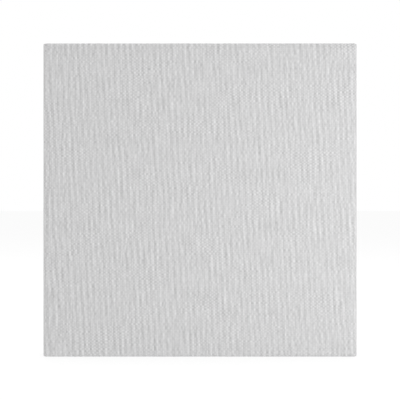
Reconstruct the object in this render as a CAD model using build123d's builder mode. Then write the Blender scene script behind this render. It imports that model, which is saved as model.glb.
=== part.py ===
from build123d import *

import os
from math import pi, sqrt

# A small stretched canvas: primed cotton duck pulled over four keyed stretcher bars and stapled behind.
#
# Millimetres. +Z is up, +X is to the right as the painting face is seen, and that face looks along -Y.
# The origin is under the middle of the canvas, on the surface that its bottom edge stands on.
#
# Each stretcher bar ends in four layers, from the face backwards: a mitred lap, a layer where one bar
# has a tongue and its neighbour a slot, a layer where they change places, and a second mitred lap.
# A slot is longer than the tongue that fills it, and a wedge-shaped key is driven into what is left.

# Driving dimensions
SIDE = 150.0           # width and height of the finished canvas
CLOTH = 0.45           # thickness of the primed cotton duck
TURNOVER = 18.0        # cloth turned over onto the back of the bars
BAR_WIDTH = 30.0       # of a stretcher bar, from its outer edge to its inner edge
BAR_DEPTH = 17.0       # of a stretcher bar, from its lip to its back
LIP = 5.0              # width of the raised lip, the only part that the cloth on the face touches
LIP_STEP = 0.8         # how far the front drops at the inside of the lip
LIP_ROUND = 2.5        # radius of the lip's outer edge
BEVEL = 2.5            # how far the front has fallen from the lip by the inner edge
EDGE_ROUND = 0.8       # radius of the bars' other long edges
LAP = 5.0              # thickness of each mitred lap
MITRE_GAP = 0.1        # between two laps that meet
SLOT_PLAY = 0.05       # between a tongue and each side of its slot
TONGUE_SHORT = 0.3     # the tongue stops short of its neighbour's outer edge
KEY_SLOPE = 0.2        # how fast a slot opens, and a key widens, along the key
KEY_LENGTH = 34.0
KEY_DEPTH = 22.0       # how far a key is driven into its slot
KEY_THICKNESS = 3.2
KEY_PLAY = 0.1         # between a key and each end of its slot
KEY_CLIP = 1.5         # clipped corners of a key's broad end
CROWN = 10.0           # length of a staple across its crown
WIRE_WIDE = 0.9        # the staple wire, across the crown
WIRE_HIGH = 0.5        # the staple wire, standing on the cloth
WIRE_BEND = 0.7        # outer radius of the staple's two bends
LEG = 6.0              # length of a staple's legs under its crown
STAPLE_INSET = 9.0     # from the canvas's edge to the row of staples along it
STAPLE_PITCH = 32.0    # between the staples in a row
STAPLE_LEANS = (4.0, -3.0, 5.0)    # degrees by which they lean away from the row
FOLD_STAPLE_ALONG = 14.0           # from the canvas's corner to a fold's staple, along the fold
FOLD_STAPLE_ASIDE = 4.0            # from the fold to its staple

# Worked out from them. A depth is measured backwards from the painting face.
HALF = SIDE / 2 - CLOTH            # middle of the frame to a bar's outer edge
INNER = HALF - BAR_WIDTH           # middle of the frame to a bar's inner edge
TONGUE = BAR_DEPTH / 2 - LAP       # thickness of a tongue
BAR_BACK = CLOTH + BAR_DEPTH       # depth of the back of the bars
CLOTH_BACK = BAR_BACK + CLOTH      # depth of the outer face of the turned-over cloth
FLAP = 2 * CLOTH                   # a corner's spare cloth, folded double and laid on the side cloth
FLAP_BACK = CLOTH_BACK + FLAP      # depth of the flap's outer face on the back
MITRE_BACK = FLAP_BACK + 2 * CLOTH # depth of the top or bottom cloth, turned under and laid on that
DEPTH = MITRE_BACK + WIRE_HIGH     # depth of the whole, to the crowns of the fold staples
FRONT = -DEPTH / 2                 # Y of the painting face
MIDDLE = SIDE / 2                  # Z of the middle of the canvas
KEY_TIP = KEY_SLOPE * (BAR_WIDTH - KEY_DEPTH) - 2 * KEY_PLAY
KEY_BROAD = KEY_TIP + KEY_SLOPE * KEY_LENGTH
ROUNDING = LIP_ROUND + CLOTH       # outer radius of the cloth over the lip
CREASE_LAG = (2 - pi / 2) * (LIP_ROUND + CLOTH / 2)    # by which a flap's 45 degree crease starts late

FRONT_LAP = (0.0, CLOTH + LAP)
FRONT_TONGUE = (FRONT_LAP[1], FRONT_LAP[1] + TONGUE)
BACK_TONGUE = (FRONT_TONGUE[1], FRONT_TONGUE[1] + TONGUE)
BACK_LAP = (BACK_TONGUE[1], BAR_BACK + CLOTH)

# Each side of the frame is the bottom one turned about the middle, clockwise as seen from the front.
SIDES = ("bottom", "left", "top", "right")
QUARTER = 90.0


def face_plane(depth):
    """The plane parallel to the painting face at a depth behind it. Its sketches extrude forwards."""
    return Plane(origin=(0, FRONT + depth, 0), x_dir=(1, 0, 0), z_dir=(0, -1, 0))


def cut_end(end, start, slope, layer, play=0.0):
    """Cut a layer off one end of the bottom bar, past a line across the bar.

    end is -1 or 1. The line starts at x = start on the outer edge and slopes inwards from there.
    """
    past = BAR_WIDTH / 2
    near, far = layer[0] - play, layer[1] + play
    outline = (
        (start + slope * past, -HALF - past),
        (start - slope * (BAR_WIDTH + past), -INNER + past),
        (HALF + 2 * past, -INNER + past),
        (HALF + 2 * past, -HALF - past),
    )
    with BuildSketch(face_plane(far)) as waste:
        with BuildLine():
            Polyline(*[(end * x, y) for x, y in outline], close=True)
        make_face()
    extrude(waste.sketch, amount=far - near, mode=Mode.SUBTRACT)


def side_place(number, x=0.0, y=0.0, z=0.0, turn=0.0):
    """Where something drawn for the bottom side, about the canvas's middle, goes on side number 0 to 3."""
    turned = Location((0, 0, MIDDLE), (0, number * QUARTER, 0))
    return turned * Location((x, y, z), (0, turn, 0))


# One stretcher bar, drawn as the bottom one, about the middle of the canvas
with BuildPart() as blank_bar:
    lip_front = FRONT + CLOTH
    bar_back = FRONT + BAR_BACK
    with BuildSketch(Plane.YZ.offset(-HALF)):
        with BuildLine():
            FilletPolyline(
                (lip_front, -HALF),
                (lip_front, -HALF + LIP),
                (lip_front + LIP_STEP, -HALF + LIP + LIP_STEP),
                (lip_front + BEVEL, -INNER),
                (bar_back, -INNER),
                (bar_back, -HALF),
                radius=[LIP_ROUND, EDGE_ROUND, EDGE_ROUND, EDGE_ROUND, EDGE_ROUND, EDGE_ROUND],
                close=True,
            )
        make_face()
    extrude(amount=2 * HALF)
    for end, tongue, slot in ((-1, FRONT_TONGUE, BACK_TONGUE), (1, BACK_TONGUE, FRONT_TONGUE)):
        for lap in (FRONT_LAP, BACK_LAP):
            cut_end(end, HALF - MITRE_GAP / sqrt(2), 1.0, lap)
        cut_end(end, HALF - TONGUE_SHORT, 0.0, tongue)
        cut_end(end, INNER, KEY_SLOPE, slot, play=SLOT_PLAY)


# One key for each end of the bottom bar, seated in the bar's slot against its neighbour's inner edge
def draw_key(end, layer):
    straight = INNER - KEY_PLAY
    tip = -INNER - KEY_DEPTH
    near = (layer[0] + layer[1] - KEY_THICKNESS) / 2
    with BuildSketch(face_plane(near + KEY_THICKNESS)) as outline:
        with BuildLine():
            Polyline(
                (end * straight, tip),
                (end * (straight - KEY_TIP), tip),
                (end * (straight - KEY_BROAD), tip + KEY_LENGTH),
                (end * straight, tip + KEY_LENGTH),
                close=True,
            )
        make_face()
        chamfer(outline.vertices().group_by(Axis.Y)[-1], KEY_CLIP)
    with BuildPart() as key:
        extrude(outline.sketch, amount=KEY_THICKNESS)
    return key.part


KEY_ENDS = {-1: draw_key(-1, BACK_TONGUE), 1: draw_key(1, FRONT_TONGUE)}


# One staple, its crown along X on a surface at y = 0 and its legs driven forwards
with BuildPart() as blank_staple:
    reach = CROWN / 2
    with BuildSketch(Plane.XY.offset(-WIRE_WIDE / 2)):
        with BuildLine():
            FilletPolyline(
                (-reach, -LEG),
                (-reach, WIRE_HIGH),
                (reach, WIRE_HIGH),
                (reach, -LEG),
                (reach - WIRE_HIGH, -LEG),
                (reach - WIRE_HIGH, 0),
                (-reach + WIRE_HIGH, 0),
                (-reach + WIRE_HIGH, -LEG),
                radius=[0, WIRE_BEND, WIRE_BEND, 0, 0, WIRE_BEND - WIRE_HIGH, WIRE_BEND - WIRE_HIGH, 0],
                close=True,
            )
        make_face()
    extrude(amount=WIRE_WIDE)

# The staples, a row along each side and one through the folds of each corner
staple_groups = {}
for number, side in enumerate(SIDES):
    with BuildPart() as row:
        for place, lean in zip((-1, 0, 1), STAPLE_LEANS):
            x, y, z = place * STAPLE_PITCH, FRONT + CLOTH_BACK, STAPLE_INSET - MIDDLE
            with Locations(side_place(number, x, y, z, lean)):
                add(blank_staple.part)
    staple_groups[f"staples_{side}"] = row.part

# Each corner is named, and given as whether it lies at -1 or 1 across and at -1 or 1 up
CORNERS = {
    "bottom_left": (-1, -1),
    "bottom_right": (1, -1),
    "top_left": (-1, 1),
    "top_right": (1, 1),
}
for corner, (across, up) in CORNERS.items():
    along, aside = FOLD_STAPLE_ALONG / sqrt(2), FOLD_STAPLE_ASIDE / sqrt(2)
    x = across * (MIDDLE - along - aside)
    z = MIDDLE + up * (MIDDLE - along + aside)
    turn = -across * up * QUARTER / 2
    with BuildPart() as single:
        with Locations(Location((x, FRONT + MITRE_BACK, z), (0, turn, 0))):
            add(blank_staple.part)
    staple_groups[f"staple_fold_{corner}"] = single.part

# The space inside the cloth, which the four bars fill
with BuildPart() as core:
    with BuildSketch(face_plane(BAR_BACK)):
        Rectangle(2 * HALF, 2 * HALF)
    extrude(amount=BAR_DEPTH)
    fillet(core.faces().sort_by(Axis.Y)[0].edges(), LIP_ROUND)
    fillet(core.faces().sort_by(Axis.Y)[-1].edges(), EDGE_ROUND)

# The cloth, one sheet over the face, round the four edges and onto the back
with BuildPart() as sheet:
    with BuildSketch(face_plane(CLOTH_BACK)):
        Rectangle(SIDE, SIDE)
    extrude(amount=CLOTH_BACK)
    fillet(sheet.faces().sort_by(Axis.Y)[0].edges(), ROUNDING)
    fillet(sheet.faces().sort_by(Axis.Y)[-1].edges(), EDGE_ROUND + CLOTH)
    add(core.part, mode=Mode.SUBTRACT)
    with BuildSketch(face_plane(CLOTH_BACK)):
        Rectangle(SIDE - 2 * TURNOVER, SIDE - 2 * TURNOVER)
    extrude(amount=2 * CLOTH, mode=Mode.SUBTRACT)
    # The folded corners. The spare cloth is a double triangle, laid on the left or right edge and on over
    # the back; the top or bottom cloth is turned under at 45 degrees and laid on top of it.
    flush = MIDDLE - CLOTH
    inside = MIDDLE - TURNOVER
    crease_front = MIDDLE - (ROUNDING - CREASE_LAG)
    crease_back = MIDDLE - (FLAP_BACK - CREASE_LAG)
    for across, up in CORNERS.values():
        with BuildSketch(Plane.YZ.offset(across * (MIDDLE - CLOTH / 2))):
            with BuildLine():
                Polyline(
                    (FRONT + ROUNDING, up * flush),
                    (FRONT + FLAP_BACK, up * flush),
                    (FRONT + FLAP_BACK, up * crease_back),
                    (FRONT + ROUNDING, up * crease_front),
                    close=True,
                )
            make_face()
        extrude(amount=across * (FLAP + CLOTH / 2))
        with BuildSketch(face_plane(FLAP_BACK)):
            with BuildLine():
                Polyline(
                    (across * (MIDDLE + FLAP), up * flush),
                    (across * inside, up * flush),
                    (across * inside, up * (crease_back - TURNOVER)),
                    (across * MIDDLE, up * crease_back),
                    (across * (MIDDLE + FLAP), up * crease_back),
                    close=True,
                )
            make_face()
        extrude(amount=FLAP + CLOTH / 2)
        with BuildSketch(face_plane(MITRE_BACK)):
            with BuildLine():
                Polyline(
                    (across * flush, up * flush),
                    (across * inside, up * inside),
                    (across * inside, up * flush),
                    close=True,
                )
            make_face()
        extrude(amount=MITRE_BACK - FLAP_BACK)

# Every piece, where it stands
pieces = dict(staple_groups)
with BuildPart() as canvas:
    with Locations((0, 0, MIDDLE)):
        add(sheet.part)
    for staples in staple_groups.values():
        add(staples, mode=Mode.SUBTRACT)
pieces["canvas"] = canvas.part

for number, side in enumerate(SIDES):
    with BuildPart() as bar:
        with Locations(side_place(number)):
            add(blank_bar.part)
        for staples in staple_groups.values():
            add(staples, mode=Mode.SUBTRACT)
    pieces[f"bar_{side}"] = bar.part
    for end, blank_key in KEY_ENDS.items():
        with BuildPart() as key:
            with Locations(side_place(number)):
                add(blank_key)
        neighbour = SIDES[(number - end) % len(SIDES)]
        pieces[f"key_{side}_{neighbour}"] = key.part

os.makedirs("parts", exist_ok=True)
for name, piece in pieces.items():
    piece.label = name
    export_step(piece, f"parts/{name}.step")
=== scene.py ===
"""A small stretched canvas: primed cotton cloth folded round four keyed bars and stapled behind.

Metres, in the CAD model's frame: +Z is up and the painting face looks along -Y. The bars, keys and staples
are the CAD model's own, given wood and steel. The cloth and its loose threads are made here.
"""

import math

import bpy
import numpy as np
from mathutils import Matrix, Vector


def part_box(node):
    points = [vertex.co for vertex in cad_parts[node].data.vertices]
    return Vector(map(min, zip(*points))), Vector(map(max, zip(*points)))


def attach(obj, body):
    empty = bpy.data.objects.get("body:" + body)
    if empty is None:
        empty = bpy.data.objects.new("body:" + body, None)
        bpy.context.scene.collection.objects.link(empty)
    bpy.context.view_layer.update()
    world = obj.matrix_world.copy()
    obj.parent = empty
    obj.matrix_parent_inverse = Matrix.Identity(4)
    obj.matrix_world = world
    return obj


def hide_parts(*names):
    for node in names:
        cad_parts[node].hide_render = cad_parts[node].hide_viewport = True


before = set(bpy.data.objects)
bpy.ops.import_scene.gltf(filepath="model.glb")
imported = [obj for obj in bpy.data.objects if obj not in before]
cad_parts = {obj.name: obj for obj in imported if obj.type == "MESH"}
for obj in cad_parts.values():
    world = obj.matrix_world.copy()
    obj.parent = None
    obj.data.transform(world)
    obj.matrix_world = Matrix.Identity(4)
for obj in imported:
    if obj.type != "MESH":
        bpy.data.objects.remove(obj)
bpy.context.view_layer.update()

BODY = "frame_and_cloth"
SIDES = ("bottom", "left", "top", "right")
MM = 0.001

# What the cloth goes round, read from the frame
bar_low, bar_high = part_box("bar_left")
canvas_low, canvas_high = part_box("canvas")
HALF = -bar_low.x                              # middle of the frame to a bar's outer edge
BAR_FRONT, BAR_BACK = bar_low.y, bar_high.y
CLOTH = BAR_FRONT - canvas_low.y               # thickness of the cloth
MIDDLE = (canvas_low.z + canvas_high.z) / 2    # height of the middle of the face
SIDE = canvas_high.z - canvas_low.z            # width and height of the face

# The cloth's other sizes, as in the CAD model
LIP_ROUND = 2.5 * MM
BACK_ROUND = 0.8 * MM
TURNOVER = 18 * MM
CUT_EDGE = SIDE / 2 - TURNOVER                 # middle of the frame to the cloth's cut edge

# The weave
UPRIGHT_THREADS = 146                          # across the face
LEVEL_THREADS = 197                            # down the face
UPRIGHT_PITCH = SIDE / UPRIGHT_THREADS
LEVEL_PITCH = SIDE / LEVEL_THREADS


# Smooth noise ---------------------------------------------------------------------------------------------

LATTICE = 256               # random values each way, which is more waves than the cloth ever needs


def smoothstep(low, high, x):
    t = np.clip((x - low) / (high - low), 0, 1)
    return t * t * (3 - 2 * t)


def wander(x, y, wave_x, wave_y, seed):
    """Smooth seeded noise from about -1 to 1, with one bump to each wave_x by wave_y."""
    lattice = np.random.default_rng(seed).uniform(-1, 1, (LATTICE, LATTICE))
    u, v = np.asarray(x) / wave_x + LATTICE // 2, np.asarray(y) / wave_y + LATTICE // 2
    i, j = np.floor(u).astype(int), np.floor(v).astype(int)
    a, b = smoothstep(0, 1, u - i), smoothstep(0, 1, v - j)
    i, j = i % (LATTICE - 1), j % (LATTICE - 1)
    low = lattice[i, j] * (1 - a) + lattice[i + 1, j] * a
    high = lattice[i, j + 1] * (1 - a) + lattice[i + 1, j + 1] * a
    return low * (1 - b) + high * b


# The cloth ------------------------------------------------------------------------------------------------
#
# The flat sheet is a square grid of points (s, t). m, the larger of |s| and |t|, says how far along its way
# round a bar a point lies: face, lip, edge, back edge, back. q, the smaller, says where along the bar it is.
# At a corner there is more cloth than bar. That spare cloth is a flap, folded double on the diagonal of
# the sheet and laid on the left or right edge, and the top or bottom cloth is turned under and laid over it.

FACE_END = HALF - LIP_ROUND                    # values of m at which each stretch ends
LIP_END = FACE_END + math.pi / 2 * (LIP_ROUND + CLOTH / 2)
EDGE_END = LIP_END + (BAR_BACK - BACK_ROUND) - (BAR_FRONT + LIP_ROUND)
BEND_END = EDGE_END + math.pi / 2 * (BACK_ROUND + CLOTH / 2)
SHEET_END = BEND_END + (HALF - BACK_ROUND) - CUT_EDGE

FOLD_STEPS = 60             # grid steps in the outer part of the sheet, where the folds are
UPRIGHT_STEPS = 152         # grid steps across the middle of the sheet
LEVEL_STEPS = 57            # grid steps down it
FOLD_STEP = (SHEET_END - CUT_EDGE) / FOLD_STEPS

LAYER = [CLOTH * (n + 0.5) for n in range(5)]  # height over the bar of each layer in a corner's folds
TUCK = 0.9 * MM             # the folds hidden at the top of a corner stop this far inside the edge
TUCK_LENGTH = 4 * MM        # length over which the cloth beside a fold tucks in as far
FLAP_START = 11 * MM        # length past the lip over which a flap grows to its full thickness
RELEASE = 11 * MM           # length over which the turned-over cloth comes down from the folds
FOLDS_REACH = RELEASE + 1.2 * TURNOVER         # the folds cover the side cloth no further from a corner
MARGIN = 1 * MM             # what happens at an edge or a bend starts or stops this far from it

SLACK = 0.07 * MM           # mean height at which cloth that nothing stretches stands off
SLACK_START = 6 * MM        # length past the lip over which it starts to
SLACK_WAVES = (7 * MM, 9 * MM)
FRAY = 0.35 * MM            # how far the cut edge strays from straight
FRAY_WAVE = 2.5 * MM
FRAY_REACH = 4 * MM         # how far in from the cut edge the cloth strays with it

CROWN_HALF = 5 * MM         # half the length of a staple's crown
CROWN_DEEP = 0.3 * MM       # a staple's crown is what lies this near its outermost point
STAPLE_GAP = 10 * MM        # crowns in a row are further apart than this
PUCKER_HIGH = 0.16 * MM     # the cloth's rise beside a crown
PUCKER_WIDE = 1.6 * MM
DENT_DEEP = 0.10 * MM       # and its dip under one
DENT_WIDE = 1.0 * MM

SLUBS = 420
RIPPLE = 0.02 * MM          # unevenness of the upright threads
RIPPLE_WAVES = (1.5 * MM, 11 * MM)
CREASE_START = 1.5 * MM     # how far past the end of the face the creases start
CREASE_REACH = 1.6 * FOLD_STEP                 # how near a crease the grid points that soften lie
SOFTEN_TIMES = 3
LIP_SOFTNESS = 0.3          # the share of that softening that the lip takes


def profile(m, height, back_height):
    """(outward distance, y) of a point m along the way round a bar.

    Its height over the bar is given apart for the back, where more layers may lie under the cloth.
    """
    lip = (m - FACE_END) / (LIP_END - FACE_END) * math.pi / 2
    bend = (m - EDGE_END) / (BEND_END - EDGE_END) * math.pi / 2
    zones = [m <= FACE_END, m <= LIP_END, m <= EDGE_END, m <= BEND_END]
    outward = np.select(
        zones,
        [
            m,
            FACE_END + (LIP_ROUND + height) * np.sin(lip),
            HALF + height,
            HALF - BACK_ROUND + (BACK_ROUND + height) * np.cos(bend),
        ],
        HALF - BACK_ROUND - (m - BEND_END),
    )
    y = np.select(
        zones,
        [
            BAR_FRONT - height,
            BAR_FRONT + LIP_ROUND - (LIP_ROUND + height) * np.cos(lip),
            BAR_FRONT + LIP_ROUND + (m - LIP_END),
            BAR_BACK - BACK_ROUND + (BACK_ROUND + back_height) * np.sin(bend),
        ],
        BAR_BACK + back_height,
    )
    return outward, y


def staple_places():
    """(x, z, along_x, along_z) of each staple's crown: its middle and the direction of its length."""
    found = []
    for name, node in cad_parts.items():
        if not name.startswith("staple"):
            continue
        points = np.array([v.co for v in node.data.vertices])
        crowns = points[points[:, 1] > points[:, 1].max() - CROWN_DEEP][:, [0, 2]]
        row = np.ptp(crowns, axis=0).argmax()
        ordered = crowns[np.argsort(crowns[:, row])]
        gaps = np.where(np.diff(ordered[:, row]) > STAPLE_GAP)[0] + 1
        for crown in np.split(ordered, gaps):
            middle = (crown.max(0) + crown.min(0)) / 2
            _, _, axes = np.linalg.svd(crown - crown.mean(0))
            found.append((*middle, *axes[0]))
    return found


def staple_pull(x, z):
    """How the turned-over cloth stands round the staples: pinched under each crown and raised beside it."""
    lift = np.zeros_like(x)
    for mid_x, mid_z, along_x, along_z in staple_places():
        dx, dz = x - mid_x, z - mid_z
        along = dx * along_x + dz * along_z
        aside = -dx * along_z + dz * along_x
        past = np.maximum(np.abs(along) - CROWN_HALF, 0)
        distance = np.hypot(past, aside)
        pucker = (distance / PUCKER_WIDE) ** 2 * np.exp(1 - (distance / PUCKER_WIDE) ** 2)
        dent = np.exp(-((distance / DENT_WIDE) ** 2))
        lift += PUCKER_HIGH * pucker - DENT_DEEP * dent
    return lift


def slubs(s, t):
    """Thick places in the upright threads: narrow raised streaks along t, as real cotton duck has.

    Past three times its width or length a slub has faded out.
    """
    rng = np.random.default_rng(11)
    lift = np.zeros_like(s)
    for _ in range(SLUBS):
        at_s, at_t = rng.uniform(-SHEET_END, SHEET_END, 2)
        long = rng.uniform(4, 14) * MM
        wide = rng.uniform(0.5, 0.9) * MM
        high = rng.uniform(0.015, 0.05) * MM * rng.choice([1, 1, -1])
        lean = rng.uniform(-0.03, 0.03)
        near = (np.abs(s - at_s) < 3 * wide) & (np.abs(t - at_t) < 3 * long)
        ds, dt = s[near] - at_s - lean * (t[near] - at_t), t[near] - at_t
        lift[near] += high * np.exp(-((ds / wide) ** 2) - (dt / long) ** 2)
    return lift


def sheet_steps(middle_steps):
    """Grid places along one side of the sheet: close together in its outer parts, wider in its middle."""
    outer = np.linspace(CUT_EDGE, SHEET_END, FOLD_STEPS + 1)
    middle = np.linspace(-CUT_EDGE, CUT_EDGE, middle_steps + 1)[1:-1]
    return np.concatenate([-outer[::-1], middle, outer])


class Sheet:
    """The flat sheet's grid, and where each of its points lies in the folds."""

    def __init__(self):
        self.s, self.t = np.meshgrid(sheet_steps(UPRIGHT_STEPS), sheet_steps(LEVEL_STEPS))
        across, down = np.abs(self.s), np.abs(self.t)
        self.m, self.q = np.maximum(across, down), np.minimum(across, down)
        self.upper = down >= across            # a point that goes over the top or bottom bar
        self.reach, _ = profile(self.m, LAYER[0], LAYER[0])
        # The flap doubles back at this value of q
        self.fold = np.where(self.m <= LIP_END, self.reach, HALF + LAYER[0])


def folded_positions(sheet):
    """Where each point of the flat sheet goes."""
    s, t, m, q = sheet.s, sheet.t, sheet.m, sheet.q
    upper, reach, fold = sheet.upper, sheet.reach, sheet.fold
    sign_s, sign_t = np.where(s < 0, -1, 1), np.where(t < 0, -1, 1)

    visible = upper & (q <= reach)
    turned_under = upper & (q > reach) & (q <= fold)
    flap_outer = upper & (q > fold)
    flap_inner = ~upper & (q > fold)

    grown = smoothstep(FACE_END, LIP_END + FLAP_START, m)
    height = np.select(
        [turned_under, flap_outer, flap_inner],
        [LAYER[3], LAYER[0] + (LAYER[2] - LAYER[0]) * grown, LAYER[0] + (LAYER[1] - LAYER[0]) * grown],
        LAYER[0],
    )
    # Cloth is never quite flat where nothing stretches it: on the edges and the back
    shown = visible | flap_outer | (~upper & (q <= fold - FOLDS_REACH))
    loose = shown * smoothstep(LIP_END, LIP_END + SLACK_START, m)
    height = height + loose * SLACK * (1 + wander(s, t, *SLACK_WAVES, seed=3))
    # On the back, the top and bottom cloth lies over the folds at its ends
    rise = (LAYER[4] - LAYER[0]) * smoothstep(CUT_EDGE - RELEASE, CUT_EDGE, q) * visible
    outward, y = profile(m, height, height + rise)

    # The cut edge isn't quite straight, and each corner's two ends of it stray in their own way
    own_way = sign_s + 3 * sign_t
    stray = FRAY * wander(q, own_way, FRAY_WAVE, 1, seed=5)
    outward = outward + (m > BEND_END) * smoothstep(SHEET_END - FRAY_REACH, SHEET_END, m) * stray

    tuck = TUCK * smoothstep(EDGE_END - MARGIN, BEND_END, m)
    spread_under = (fold - tuck - reach) / np.maximum(fold - reach, 1e-9)
    beside = np.select(
        [turned_under, flap_outer | flap_inner],
        [reach + (q - reach) * spread_under, fold - tuck - (q - fold)],
        q - tuck * smoothstep(fold - TUCK_LENGTH, fold, q),
    )
    x = np.where(visible, sign_s * q, sign_s * outward)
    z = np.where(visible, sign_t * outward, sign_t * beside) + MIDDLE

    # Staples pull at what shows on the back
    pull = staple_pull(x, z) * smoothstep(EDGE_END, BEND_END, m)
    return np.stack([x, y + np.where(shown, pull, 0), z], -1)


def crease_nearness(sheet):
    """1 at the grid points that lie at a crease of the corner folds, and 0 elsewhere."""
    m, q = sheet.m, sheet.q
    spare = m > FACE_END + CREASE_START
    at_diagonal = spare & (m - q < CREASE_REACH)
    at_corner = spare & (np.abs(q - sheet.fold) < CREASE_REACH)
    at_mitre = spare & sheet.upper & (np.abs(q - sheet.reach) < CREASE_REACH) & (m > EDGE_END)
    return (at_diagonal | at_corner | at_mitre).astype(float)


def soften(points, share):
    """Round off the creases: move grid points halfway, times share, to the mean of their four neighbours."""
    for _ in range(SOFTEN_TIMES):
        mean = points.copy()
        mean[1:-1, 1:-1] = (
            points[:-2, 1:-1] + points[2:, 1:-1] + points[1:-1, :-2] + points[1:-1, 2:]
        ) / 4
        weight = share[..., None] / 2
        points = points * (1 - weight) + mean * weight
    return points


def surface_normals(points):
    normal = np.cross(np.gradient(points, axis=1), np.gradient(points, axis=0))
    return normal / np.maximum(np.linalg.norm(normal, axis=-1, keepdims=True), 1e-12)


def sheet_faces(sheet):
    """The grid's faces. Those in the corners are split along the creases, which run on their diagonals."""
    s, t = sheet.s, sheet.t
    index = np.arange(s.size).reshape(s.shape)
    a, b = index[:-1, :-1], index[:-1, 1:]
    c, d = index[1:, 1:], index[1:, :-1]
    mid_s = (s[:-1, :-1] + s[1:, 1:]) / 2
    mid_t = (t[:-1, :-1] + t[1:, 1:]) / 2
    corner = (np.abs(mid_s) > CUT_EDGE) & (np.abs(mid_t) > CUT_EDGE)
    on_diagonal = corner & (np.abs(np.abs(mid_s) - np.abs(mid_t)) < FOLD_STEP / 2)
    rising = mid_s * mid_t > 0
    split_ac = corner & (on_diagonal == rising)
    split_bd = corner & (on_diagonal != rising)
    faces = []
    for outline, chosen in (
        ((a, b, c, d), ~corner),
        ((a, b, c), split_ac),
        ((a, c, d), split_ac),
        ((a, b, d), split_bd),
        ((b, c, d), split_bd),
    ):
        faces += np.stack(outline, -1)[chosen].tolist()
    return faces


def add_piece(name, points, faces):
    """A smooth-shaded object in the scene, made from points and faces."""
    mesh = bpy.data.meshes.new(name)
    mesh.from_pydata(points, [], faces)
    mesh.polygons.foreach_set("use_smooth", [True] * len(mesh.polygons))
    mesh.update()
    piece = bpy.data.objects.new(name, mesh)
    bpy.context.scene.collection.objects.link(piece)
    return piece


def keep_flat_places(mesh, sheet):
    """Store each point's place on the flat sheet, in metres, as the UV map that the materials read."""
    flat = mesh.uv_layers.new(name="flat_cloth")
    corners = np.empty(len(mesh.loops), np.int64)
    mesh.loops.foreach_get("vertex_index", corners)
    places = np.stack([sheet.s.ravel(), sheet.t.ravel()], -1)[corners]
    flat.data.foreach_set("uv", places.ravel().astype(np.float32))


def make_cloth():
    """The folded sheet, and the points of its cut edge that threads hang from."""
    sheet = Sheet()
    near = crease_nearness(sheet)
    points = soften(folded_positions(sheet), np.where(sheet.m < LIP_END, LIP_SOFTNESS, 1.0) * near)

    relief = slubs(sheet.s, sheet.t) + RIPPLE * wander(sheet.s, sheet.t, *RIPPLE_WAVES, seed=21)
    relief = relief * (1 - near) * (sheet.m < SHEET_END - MARGIN)
    points = points + surface_normals(points) * relief[..., None]

    cloth = add_piece("stretched_cloth", points.reshape(-1, 3).tolist(), sheet_faces(sheet))
    keep_flat_places(cloth.data, sheet)
    thick = cloth.modifiers.new("thickness", "SOLIDIFY")
    thick.thickness = CLOTH
    thick.offset = 0
    thick.material_offset = 1
    thick.material_offset_rim = 1
    return cloth, cut_edge_points(points, sheet.q)


def cut_edge_points(points, q):
    """Points along the visible part of the cut edge, as (place, unit vector away from the middle)."""
    found = []
    for rows, columns, outward in (
        (slice(0, 1), slice(None), (0, 0, -1)),
        (slice(-1, None), slice(None), (0, 0, 1)),
        (slice(None), slice(0, 1), (-1, 0, 0)),
        (slice(None), slice(-1, None), (1, 0, 0)),
    ):
        edge = points[rows, columns].reshape(-1, 3)
        beside = q[rows, columns].ravel()
        found += [(place, np.array(outward)) for place in edge[beside < CUT_EDGE - MARGIN]]
    return found


# The loose threads along the cut edge ---------------------------------------------------------------------

FRAYED_THREADS = 330
THREAD_RADIUS = 0.09 * MM
THREAD_TAPER = 0.45         # share of its radius that a thread loses by its tip
THREAD_ROOT = 0.4 * MM      # how far inside the cloth a thread starts
THREAD_SIDES = 5
THREAD_STEPS = 5
BACKWARDS = np.array((0, 1, 0))


def add_tube(points, faces, middles, radii, aside):
    """Add a closed tube of THREAD_SIDES sides along some middles, from aside round towards the back."""
    base = len(points)
    for middle, radius in zip(middles, radii):
        for side in range(THREAD_SIDES):
            turn = 2 * math.pi * side / THREAD_SIDES
            points.append(tuple(middle + radius * (aside * math.cos(turn) + BACKWARDS * math.sin(turn))))
    for step in range(len(middles) - 1):
        for side in range(THREAD_SIDES):
            a = base + step * THREAD_SIDES + side
            b = base + step * THREAD_SIDES + (side + 1) % THREAD_SIDES
            faces.append((a, b, b + THREAD_SIDES, a + THREAD_SIDES))
    last = base + (len(middles) - 1) * THREAD_SIDES
    faces.append(tuple(base + side for side in reversed(range(THREAD_SIDES))))
    faces.append(tuple(last + side for side in range(THREAD_SIDES)))


def make_frayed_threads(edge):
    """Loose cotton ends along the cut edge of the cloth, lying on the bars."""
    rng = np.random.default_rng(17)
    points, faces = [], []
    shares = [step / THREAD_STEPS for step in range(THREAD_STEPS + 1)]
    for _ in range(FRAYED_THREADS):
        place, outward = edge[rng.integers(len(edge))]
        aside = np.cross(outward, BACKWARDS)
        along = -outward + aside * rng.normal(0, 0.35)
        curl, lift = rng.normal(0, 0.5), rng.uniform(0.02, 0.22)
        length = rng.uniform(0.5, 2.4) * MM
        start = place + aside * rng.uniform(-1, 1) * MM + outward * THREAD_ROOT
        middles = []
        for share in shares:
            middle = start + (along + aside * curl * share) * (length + THREAD_ROOT) * share
            middle[1] = place[1] + lift * length * share * share
            middles.append(middle)
        radii = [THREAD_RADIUS * (1 - THREAD_TAPER * share) for share in shares]
        add_tube(points, faces, middles, radii, aside)
    return add_piece("frayed_threads", points, faces)


# Materials ------------------------------------------------------------------------------------------------

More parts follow.
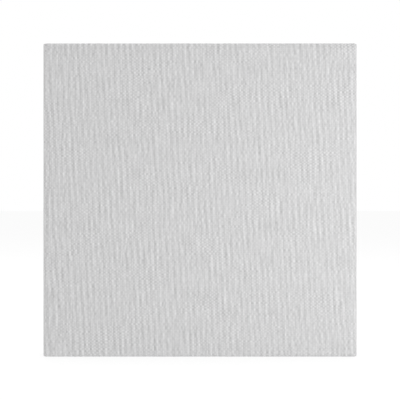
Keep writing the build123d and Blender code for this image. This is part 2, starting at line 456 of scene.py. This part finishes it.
class Nodes:
    """A material's node tree, with short ways to add nodes and link them."""

    def __init__(self, name):
        self.material = bpy.data.materials.new(name)
        self.material.use_nodes = True
        self.tree = self.material.node_tree
        self.tree.nodes.clear()
        self.shader = self.add("ShaderNodeBsdfPrincipled")
        output = self.add("ShaderNodeOutputMaterial")
        self.link(self.shader.outputs["BSDF"], output.inputs["Surface"])

    def add(self, kind, **settings):
        node = self.tree.nodes.new(kind)
        for key, value in settings.items():
            setattr(node, key, value)
        return node

    def link(self, source, target):
        self.tree.links.new(source, target)

    def feed(self, socket, value):
        """Link a socket to another node's output, or set its plain value."""
        if isinstance(value, bpy.types.NodeSocket):
            self.link(value, socket)
        else:
            socket.default_value = value

    def surface(self, colour, roughness, relief, depth, **plain):
        """Feed the shader. relief is raised by depth, and plain values go by their sockets' names."""
        self.link(colour, self.shader.inputs["Base Color"])
        self.feed(self.shader.inputs["Roughness"], roughness)
        bump = self.add("ShaderNodeBump")
        bump.inputs["Distance"].default_value = depth
        self.link(relief, bump.inputs["Height"])
        self.link(bump.outputs["Normal"], self.shader.inputs["Normal"])
        for name, value in plain.items():
            self.shader.inputs[name.replace("_", " ")].default_value = value
        return self.material

    def math(self, operation, a, b=0.0, c=0.0):
        node = self.add("ShaderNodeMath", operation=operation)
        for socket, value in zip(node.inputs, (a, b, c)):
            self.feed(socket, value)
        return node.outputs[0]

    def weigh(self, *terms):
        """The sum of some (value, weight) pairs."""
        total = 0.0
        for value, weight in terms:
            total = self.math("MULTIPLY_ADD", value, weight, total)
        return total

    def join(self, x, y, z=0.0):
        node = self.add("ShaderNodeCombineXYZ")
        for socket, value in zip(node.inputs, (x, y, z)):
            self.feed(socket, value)
        return node.outputs[0]

    def part(self, vector):
        """The three outputs of a vector's parts."""
        node = self.add("ShaderNodeSeparateXYZ")
        self.link(vector, node.inputs[0])
        return node.outputs

    def object_place(self):
        return self.add("ShaderNodeTexCoord").outputs["Object"]

    def noise(self, vector, scale=1.0, detail=2.0, rough=0.5):
        node = self.add("ShaderNodeTexNoise")
        self.link(vector, node.inputs["Vector"])
        node.inputs["Scale"].default_value = scale
        node.inputs["Detail"].default_value = detail
        node.inputs["Roughness"].default_value = rough
        return node.outputs["Fac"]

    def spread(self, value, low, high, to_low, to_high):
        """Map a range of values onto another, held at its ends."""
        node = self.add("ShaderNodeMapRange")
        self.link(value, node.inputs["Value"])
        node.inputs["From Min"].default_value = low
        node.inputs["From Max"].default_value = high
        node.inputs["To Min"].default_value = to_low
        node.inputs["To Max"].default_value = to_high
        return node.outputs["Result"]

    def blend(self, share, a, b):
        """Mix two colours, or sockets that hold them."""
        node = self.add("ShaderNodeMix", data_type="RGBA")
        self.feed(node.inputs["Factor"], share)
        for key, value in (("A", a), ("B", b)):
            socket = next(x for x in node.inputs if x.name == key and x.type == "RGBA")
            self.feed(socket, value if isinstance(value, bpy.types.NodeSocket) else (*value, 1))
        return next(x for x in node.outputs if x.type == "RGBA")


def flat_millimetres(n):
    """Nodes for the sheet's own flat coordinates: u across the upright threads and v along them."""
    flat = n.add("ShaderNodeUVMap", uv_map="flat_cloth")
    parts = n.part(flat.outputs["UV"])
    return n.math("DIVIDE", parts[0], MM), n.math("DIVIDE", parts[1], MM)


def stretched_noise(n, u, v, per_u, per_v, slice_at=0.0, detail=0.0):
    """Noise from -0.5 to 0.5, with per_u bumps to a millimetre across the upright threads and per_v along.

    Noises cut at different slices have nothing to do with each other.
    """
    place = n.join(n.math("MULTIPLY", u, per_u), n.math("MULTIPLY", v, per_v), slice_at)
    return n.math("SUBTRACT", n.noise(place, 1.0, detail), 0.5)


UPRIGHT_SWAY = 2.6          # millimetres by which threads stray from straight, at most half each way
LEVEL_SWAY = 1.4
THREAD_ROUNDNESS = 0.6      # power on a sine that makes a thread round, with a narrow gap beside it
UPRIGHT_OVER, UPRIGHT_MEAN = 0.36, 0.64        # an upright thread's height: its swing and its mean
LEVEL_OVER, LEVEL_MEAN = 0.40, 0.46


def plain_weave(n, u, v):
    """The weave's height and its pits, 0 to 1, and its over-and-under pattern and upright threads, -1 to 1.

    They come back as height, pattern, threads and pits.
    """
    sway = n.math("MULTIPLY", stretched_noise(n, u, v, 0.16, 0.035, 0.0, 2.0), UPRIGHT_SWAY)
    lift = n.math("MULTIPLY", stretched_noise(n, u, v, 0.03, 0.2, 7.0, 1.0), LEVEL_SWAY)
    upright = n.math("SINE", n.math("MULTIPLY", n.math("ADD", u, sway), math.pi * MM / UPRIGHT_PITCH))
    level = n.math("SINE", n.math("MULTIPLY", n.math("ADD", v, lift), math.pi * MM / LEVEL_PITCH))
    crossing = n.math("MULTIPLY", upright, level)
    upright_round = n.math("POWER", n.math("ABSOLUTE", upright), THREAD_ROUNDNESS)
    level_round = n.math("POWER", n.math("ABSOLUTE", level), THREAD_ROUNDNESS)
    over = n.math("MULTIPLY", upright_round, n.math("MULTIPLY_ADD", crossing, UPRIGHT_OVER, UPRIGHT_MEAN))
    under = n.math("MULTIPLY", level_round, n.math("MULTIPLY_ADD", crossing, -LEVEL_OVER, LEVEL_MEAN))
    pits = n.math("MULTIPLY", n.math("SUBTRACT", 1.0, upright_round), n.math("SUBTRACT", 1.0, level_round))
    return n.math("MAXIMUM", over, under), crossing, upright, pits


RIB_PITCH = 2.79            # millimetres between the ribs that thicker upright threads make
RIB_LEAN = 0.023            # ribs passed for each millimetre up: they lean a little to the left
RIB_STRAY = 0.5             # ribs by which they wander, at most half each way
RIB_FADING = 2.4            # how much their strength varies, about 1


def ribs(n, u, v):
    """Faint upright ribs, -1 to 1, that wander a little and fade in places."""
    turns = n.math("MULTIPLY_ADD", u, 1 / RIB_PITCH, n.math("MULTIPLY", v, RIB_LEAN))
    stray = stretched_noise(n, u, v, 0.07, 0.05, 3.0, 1.0)
    turns = n.math("ADD", turns, n.math("MULTIPLY", stray, RIB_STRAY))
    wave = n.math("SINE", n.math("MULTIPLY", turns, 2 * math.pi))
    strength = n.math("MULTIPLY_ADD", stretched_noise(n, u, v, 0.15, 0.10, 5.0), RIB_FADING, 1.0)
    return n.math("MULTIPLY", wave, strength)


GROUND_COLOUR = (0.586, 0.585, 0.588)
TONE_SWING = 0.265          # share by which the darkest and lightest places leave that colour, as painted shade and painted highlight
TONE_LIMIT = 0.3            # sum of the terms at which they do


def primed_cloth():
    """Matt pale grey-white acrylic ground over the weave, ribbed where upright threads run thick.

    Its colour carries painted shading of that relief: darker where the weave, ribs, streaks and knots sit
    low, with painted shade in the pits between the threads, and lighter, as a painted highlight, on the
    crowns.
    """
    n = Nodes("primed_cloth")
    u, v = flat_millimetres(n)
    height, crossing, upright, pits = plain_weave(n, u, v)
    rib = ribs(n, u, v)
    streak = stretched_noise(n, u, v, 0.62, 0.12, 4.0)
    knots = stretched_noise(n, u, v, 0.80, 0.60, 8.0)
    long_threads = n.math("MULTIPLY", upright, stretched_noise(n, u, v, 0.2, 0.05, 6.0))
    short_threads = n.math("MULTIPLY", upright, stretched_noise(n, u, v, 0.3, 0.6, 11.0))
    patches = n.math("MULTIPLY_ADD", stretched_noise(n, u, v, 0.05, 0.07, 13.0), 6.0, 1.0)
    checks = n.math("MULTIPLY", crossing, n.math("MAXIMUM", patches, 0.0))
    raised = n.math("SUBTRACT", height, 0.6)
    grain = stretched_noise(n, u, v, 6.0, 6.0, 9.0, 2.0)
    # Painted shading of the cloth's relief: the ribs, streaks and knots darken and lighten where the relief
    # below lowers and raises them, the thread and check terms shade the threads and their crossings, pits is
    # painted shade between the threads, and raised is a painted highlight on their crowns.
    painted_shading = n.weigh(
        (rib, 0.060),
        (streak, 0.20),
        (knots, 0.18),
        (long_threads, 0.24),
        (short_threads, 0.46),
        (checks, 0.048),
        (raised, 0.02),
        (pits, -0.24),
    )
    # A shaded and a lit copy of the ground colour, for the painted shading to mix between.
    dark, light = ([(1 + swing) * c for c in GROUND_COLOUR] for swing in (-TONE_SWING, TONE_SWING))
    colour = n.blend(n.spread(painted_shading, -TONE_LIMIT, TONE_LIMIT, 0.0, 1.0), dark, light)
    relief = n.weigh((height, 1.0), (rib, 0.30), (streak, 0.8), (knots, 0.8), (grain, 0.25))
    roughness = n.spread(relief, -0.5, 1.5, 0.72, 0.62)
    return n.surface(colour, roughness, relief, 0.12 * MM, Specular_IOR_Level=0.3)


# Cream cotton from its low places to its crowns: the darker colour is partly painted shade where the weave
# dips and partly the yarn's own uneven colour.
RAW_DARK, RAW_PALE = (0.58, 0.50, 0.37), (0.84, 0.77, 0.63)
# The first colour here is painted shade, put in the gaps between the threads; the second is the dark of real
# seed husk.
PIT_SHADE, HUSK_BROWN = (0.20, 0.15, 0.09), (0.16, 0.10, 0.05)


def raw_cloth():
    """The unprimed inside: cream cotton, its weave open, with a few dark flecks of seed husk. Painted shade
    darkens the gaps between its threads and the low places of its weave.
    """
    n = Nodes("raw_cotton")
    u, v = flat_millimetres(n)
    height, _, _, pits = plain_weave(n, u, v)
    streak = stretched_noise(n, u, v, 0.7, 0.06, 2.0, 2.0)
    fibre = stretched_noise(n, u, v, 5.0, 5.0, 5.0, 3.0)
    husk = stretched_noise(n, u, v, 0.9, 0.6, 12.0, 2.0)
    relief = n.weigh((height, 1.0), (streak, 1.0), (fibre, 0.5))
    # Darker low in the weave, as painted shade, and along the streaks and fibres, as the yarn's own colour.
    colour = n.blend(n.spread(relief, 0.0, 1.2, 0.0, 1.0), RAW_DARK, RAW_PALE)
    # Painted shade in the gaps between the threads.
    colour = n.blend(n.spread(pits, 0.3, 1.0, 0.0, 0.75), colour, PIT_SHADE)
    colour = n.blend(n.spread(husk, 0.235, 0.26, 0.0, 0.7), colour, HUSK_BROWN)
    return n.surface(colour, 0.9, relief, 0.16 * MM, Sheen_Weight=0.25)


THREAD_DARK, THREAD_PALE = (0.55, 0.49, 0.38), (0.86, 0.82, 0.72)


def cotton_thread():
    """Loose ends of unbleached cotton."""
    n = Nodes("cotton_thread")
    twist = n.noise(n.object_place(), 2500.0, 2.0, 0.6)
    return n.surface(n.blend(twist, THREAD_DARK, THREAD_PALE), 0.9, twist, 0.05 * MM, Sheen_Weight=0.3)


WOOD_GLOW = (0.83, 0.66, 0.46)                 # warmer clouds in any of the woods
RING_BEND = 26.0            # millimetres by which growth rings stray along a bar, at most half each way
RING_UNEVEN = 2.5           # rings by which their spacing strays


def growth_rings(n, along, across, seed, ring, heart):
    """How dark a place is for late wood, 0 to 1: it builds up through each ring and ends sharply.

    heart is the rings' centre, across the grain, and ring is their spacing.
    """
    wave = n.join(n.math("MULTIPLY", along, 0.012), n.math("MULTIPLY", across[0], 0.03), seed)
    bend = n.math("MULTIPLY", n.math("SUBTRACT", n.noise(wave), 0.5), RING_BEND)
    one = n.math("ADD", n.math("SUBTRACT", across[0], heart[0]), bend)
    two = n.math("ADD", n.math("SUBTRACT", across[1], heart[1]), n.math("MULTIPLY", bend, 0.6))
    radius = n.math("SQRT", n.math("ADD", n.math("MULTIPLY", one, one), n.math("MULTIPLY", two, two)))
    uneven = n.noise(n.join(n.math("MULTIPLY", radius, 0.2), seed))
    turns = n.math("ADD", n.math("DIVIDE", radius, ring), n.math("MULTIPLY", uneven, RING_UNEVEN))
    phase = n.math("FRACT", turns)
    late = n.math("SUBTRACT", n.math("POWER", phase, 3.5), n.spread(phase, 0.94, 1.0, 0.0, 1.0))
    return n.math("MAXIMUM", late, 0.0)


def wood(name, grain_axis, seed, pale, dark, ring, heart):
    """Planed wood, its growth rings along one axis."""
    n = Nodes(name)
    places = [n.math("DIVIDE", part, MM) for part in n.part(n.object_place())]
    along = places.pop(grain_axis)
    across = places
    late = growth_rings(n, along, across, seed, ring, heart)
    fibre = n.noise(n.join(n.math("MULTIPLY", along, 0.05), *across), 2.6, 3.0, 0.65)
    pores = n.noise(n.join(n.math("MULTIPLY", along, 0.16), *across), 7.0, 2.0, 0.6)
    cloudy = n.noise(n.join(n.math("MULTIPLY", along, 0.02), *across), 0.06)
    colour = n.blend(n.math("MULTIPLY", late, 0.85), pale, dark)
    colour = n.blend(n.spread(fibre, 0.3, 0.7, 0.0, 0.28), colour, tuple(0.72 * c for c in dark))
    colour = n.blend(n.spread(cloudy, 0.35, 0.65, 0.0, 0.22), colour, WOOD_GLOW)
    relief = n.weigh((pores, 1.0), (fibre, 0.6), (late, 0.5))
    roughness = n.spread(fibre, 0.3, 0.7, 0.52, 0.68)
    return n.surface(colour, roughness, relief, 0.12 * MM, Specular_IOR_Level=0.3)


STEEL_DARK, STEEL_PALE = (0.24, 0.24, 0.24), (0.52, 0.52, 0.52)


def wire_steel():
    """Galvanised staple wire, faintly drawn and spangled."""
    n = Nodes("staple_wire")
    spangle = n.noise(n.object_place(), 900.0, 3.0, 0.7)
    roughness = n.spread(spangle, 0.3, 0.7, 0.22, 0.42)
    return n.surface(n.blend(spangle, STEEL_DARK, STEEL_PALE), roughness, spangle, 0.03 * MM, Metallic=1.0)


# The pieces -----------------------------------------------------------------------------------------------

PINE_PALE, PINE_DARK = (0.71, 0.52, 0.31), (0.44, 0.25, 0.11)
BEECH_PALE, BEECH_DARK = (0.66, 0.46, 0.28), (0.47, 0.29, 0.15)
BEECH_RING = 1.7            # millimetres between growth rings
X_AXIS, Z_AXIS = 0, 2


def paint_node(name, material):
    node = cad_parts[name]
    node.data.materials.clear()
    node.data.materials.append(material)


def pine_bar(number, side):
    """Pine for one bar, cut from its own place in the tree."""
    grain_axis = X_AXIS if side in ("bottom", "top") else Z_AXIS
    ring = 2.6 + 0.5 * number
    heart = (34.0 + 9 * number, -18.0 + 13 * number)
    return wood(f"pine_{side}", grain_axis, 3.7 * number, PINE_PALE, PINE_DARK, ring, heart)


def beech_key(number, name):
    """Beech for one key. A key lies across the bar that it is named after first."""
    grain_axis = Z_AXIS if name.split("_")[1] in ("bottom", "top") else X_AXIS
    seed = 1.3 + 2.9 * number
    return wood(f"beech_{name}", grain_axis, seed, BEECH_PALE, BEECH_DARK, BEECH_RING, (20 + seed, 3.0))


cloth, cut_edge = make_cloth()
cloth.data.materials.append(primed_cloth())
cloth.data.materials.append(raw_cloth())
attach(cloth, BODY)
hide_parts("canvas")
threads = make_frayed_threads(cut_edge)
threads.data.materials.append(cotton_thread())
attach(threads, BODY)

for number, side in enumerate(SIDES):
    paint_node(f"bar_{side}", pine_bar(number, side))
steel = wire_steel()
for number, name in enumerate(sorted(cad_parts)):
    if name.startswith("key_"):
        paint_node(name, beech_key(number, name))
    elif name.startswith("staple"):
        paint_node(name, steel)


# The stage ------------------------------------------------------------------------------------------------

WHITE = (1, 1, 1, 1)
FLOOR_SIZE = 12.0
FLOOR_COLOUR = (0.3, 0.3, 0.3, 1)
FLOOR_GLOW = 0.745
SKY_HORIZON, SKY_OVERHEAD = 1.0, 0.7           # brightness of the surround
SKY_CHANGE = (0.2, 0.5)                        # heights, of 1, between which it changes

# Each light's name, place, width and power. They all point at the middle of the face.
LIGHTS = (
    ("key", (0.22, -0.25, 0.07), 0.12, 0.27),
    ("top", (0, 0.15, 0.9), 0.4, 2.1),
    ("left", (-0.8, 0.12, 0.25), 0.3, 0.63),
)

FACE_SHARE = 0.7875         # share of the picture's width that the face fills
LENS, SENSOR = 85.0, 36.0


def studio_floor():
    """A seamless pale floor, lit from below as on a light table, so that it reads white."""
    bpy.ops.mesh.primitive_plane_add(size=FLOOR_SIZE)
    floor = bpy.context.object
    floor.name = "floor"
    n = Nodes("studio_floor")
    n.shader.inputs["Base Color"].default_value = FLOOR_COLOUR
    n.shader.inputs["Roughness"].default_value = 0.9
    n.shader.inputs["Specular IOR Level"].default_value = 0.0
    n.shader.inputs["Emission Color"].default_value = WHITE
    n.shader.inputs["Emission Strength"].default_value = FLOOR_GLOW
    floor.data.materials.append(n.material)


def studio_sky():
    """A soft white surround: bright at the horizon and dimmer overhead."""
    world = bpy.data.worlds.new("studio")
    world.use_nodes = True
    tree = world.node_tree
    background = tree.nodes["Background"]
    background.inputs["Color"].default_value = WHITE
    place = tree.nodes.new("ShaderNodeTexCoord")
    parts = tree.nodes.new("ShaderNodeSeparateXYZ")
    level = tree.nodes.new("ShaderNodeMapRange")
    level.interpolation_type = "SMOOTHSTEP"
    level.inputs["From Min"].default_value = SKY_CHANGE[0]
    level.inputs["From Max"].default_value = SKY_CHANGE[1]
    level.inputs["To Min"].default_value = SKY_HORIZON
    level.inputs["To Max"].default_value = SKY_OVERHEAD
    tree.links.new(place.outputs["Generated"], parts.inputs[0])
    tree.links.new(parts.outputs["Z"], level.inputs["Value"])
    tree.links.new(level.outputs["Result"], background.inputs["Strength"])
    bpy.context.scene.world = world


def soft_light(name, place, width, power, target):
    """A square area light that points at a target."""
    data = bpy.data.lights.new(name, "AREA")
    data.shape = "SQUARE"
    data.size = width
    data.energy = power
    light = bpy.data.objects.new(name, data)
    light.location = place
    light.rotation_euler = (Vector(target) - Vector(place)).to_track_quat("-Z", "Y").to_euler()
    bpy.context.scene.collection.objects.link(light)


def front_camera(target):
    """A camera that looks straight at the face."""
    data = bpy.data.cameras.new("camera")
    data.lens = LENS
    data.sensor_width = SENSOR
    camera = bpy.data.objects.new("camera", data)
    distance = SIDE / FACE_SHARE * LENS / SENSOR
    camera.location = Vector(target) - Vector((0, distance, 0))
    camera.rotation_euler = (math.pi / 2, 0, 0)
    bpy.context.scene.collection.objects.link(camera)
    bpy.context.scene.camera = camera


face_middle = (0, canvas_low.y, MIDDLE)
studio_floor()
studio_sky()
for light in LIGHTS:
    soft_light(*light, face_middle)
front_camera(face_middle)
bpy.context.scene.view_settings.view_transform = "Standard"
